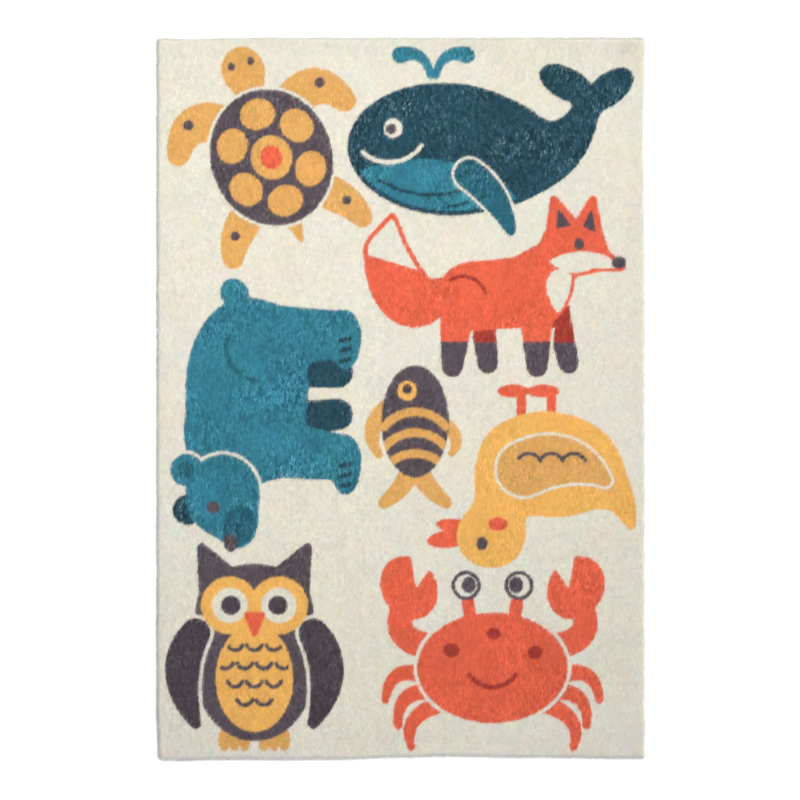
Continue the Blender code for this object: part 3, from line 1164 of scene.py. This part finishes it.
def make_cloth_material():
    """Undyed cloth in a plain weave."""
    material, tree, shader = new_material("ground_weave")
    weave = new_node(tree, "Math")
    weave.operation = "MAXIMUM"
    for number, direction in enumerate("XY"):
        wave = new_node(tree, "TexWave", WEAVE)
        wave.bands_direction = direction
        tree.links.new(own_frame(tree), wave.inputs["Vector"])
        tree.links.new(wave.outputs["Fac"], weave.inputs[number])
    tint = mixed_colour(tree, "MIX", WEAVE_COLOURS)
    tree.links.new(weave.outputs["Value"], tint.inputs["Factor"])
    tree.links.new(tint.outputs["Result"], shader.inputs["Base Color"])
    add_bump(tree, shader, weave.outputs["Value"], WEAVE_BUMP)
    set_inputs(shader, CLOTH_SURFACE)
    return material


def make_floor_material():
    """A pale matte floor that glows more away from the rug, so that it doesn't fade into grey."""
    material, tree, shader = new_material("pale_floor")
    mottle = stretched_noise(tree, FLOOR_MOTTLE)
    tree.links.new(ranged(tree, mottle, NOISE_RANGE, FLOOR_ROUGHNESS), shader.inputs["Roughness"])
    away = new_node(tree, "VectorMath")
    away.operation = "LENGTH"
    tree.links.new(own_frame(tree), away.inputs[0])
    glow = ranged(tree, away.outputs["Value"], GLOW_DISTANCES, GLOW_STRENGTHS, "SMOOTHSTEP")
    tree.links.new(glow, shader.inputs["Emission Strength"])
    set_inputs(shader, FLOOR_SURFACE)
    return material


# ---- stage, camera and light
FLOOR_DROP = 0.0004
FLOOR_SIZE = 30.0
FLOOR_LINES = 5

CAMERA_PLACE = (-0.0018, -0.0026, 3.864)
CAMERA_LENS = 85.0
CAMERA_SENSOR = 36.0

# The surround's strength from the horizon up to where it has faded, as shares of straight up.
WORLD_LIGHT = {"heights": (0.0, 0.50), "strengths": (1.20, 0.16)}
SIDE_LIGHT = {"from": (0.93, 0.34, 0.20), "spread": 30.0, "strength": 2.8}
LIGHTS = (
    {"name": "key", "place": (-0.15, 0.64, 2.35), "aim": (-0.15, 0.30, 0.0), "size": 2.0, "power": 65.4,
     "colour": (1.0, 0.995, 0.975)},
    {"name": "fill", "place": (0.2, -2.6, 0.9), "aim": (0.0, -0.7, 0.0), "size": 1.4, "power": 16.0,
     "colour": (0.95, 0.985, 1.04)},
)


def make_floor():
    lines = np.linspace(-FLOOR_SIZE / 2, FLOOR_SIZE / 2, FLOOR_LINES)
    across, along = np.meshgrid(lines, lines, indexing="ij")
    places = np.stack([across, along, np.full(across.shape, -FLOOR_DROP)], -1).reshape(-1, 3)
    floor = new_piece("floor", places, grid_faces(*across.shape), make_floor_material())


def make_camera():
    """Straight above the rug, with its head at the top of the picture."""
    data = bpy.data.cameras.new("camera")
    data.lens = CAMERA_LENS
    data.sensor_width = CAMERA_SENSOR
    camera = placed("camera", data)
    camera.location = CAMERA_PLACE
    bpy.context.scene.camera = camera


def new_lamp(name, kind, energy, shines):
    """A lamp that shines this way."""
    lamp = placed(name, bpy.data.lights.new(name, kind))
    lamp.data.energy = energy
    lamp.rotation_euler = shines.to_track_quat("-Z", "Y").to_euler()
    return lamp


def make_lights():
    for row in LIGHTS:
        lamp = new_lamp(row["name"], "AREA", row["power"], Vector(row["aim"]) - Vector(row["place"]))
        lamp.location = row["place"]
        lamp.data.size = row["size"]
        lamp.data.color = row["colour"]
    sun = new_lamp("side_light", "SUN", SIDE_LIGHT["strength"], -Vector(SIDE_LIGHT["from"]))
    sun.data.angle = math.radians(SIDE_LIGHT["spread"])
    bpy.context.scene.world = make_world()


def make_world():
    """A pale surround, brighter at the horizon than overhead."""
    world = bpy.data.worlds.new("studio")
    world.use_nodes = True
    tree = world.node_tree
    background = tree.nodes["Background"]
    split = new_node(tree, "SeparateXYZ")
    tree.links.new(new_node(tree, "TexCoord").outputs["Generated"], split.inputs["Vector"])
    strength = ranged(tree, split.outputs["Z"], WORLD_LIGHT["heights"], WORLD_LIGHT["strengths"])
    tree.links.new(strength, background.inputs["Strength"])
    set_inputs(background, {"Color": WHITE})
    return world


def set_picture_look():
    settings = bpy.context.scene.view_settings
    settings.view_transform = "Standard"
    settings.look = "None"
    settings.exposure = 0.0
    settings.gamma = 1.0


# ---- the rug
def dress(form):
    """Makes the rug's pieces, hangs them on the root body and hides the imported solid."""
    pile = make_pile_material()
    cloth = make_ground_cloth(form, make_cloth_material())
    pile_pieces = [make_pile_bed(form, pile)] + make_tufts(form, pile)
    for piece in [cloth] + pile_pieces:
        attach(piece, "root")
        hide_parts("rug")


clear_scene()
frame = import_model()
dress(RugForm(frame["nodes"]["rug"]))
make_floor()
make_camera()
make_lights()
set_picture_look()
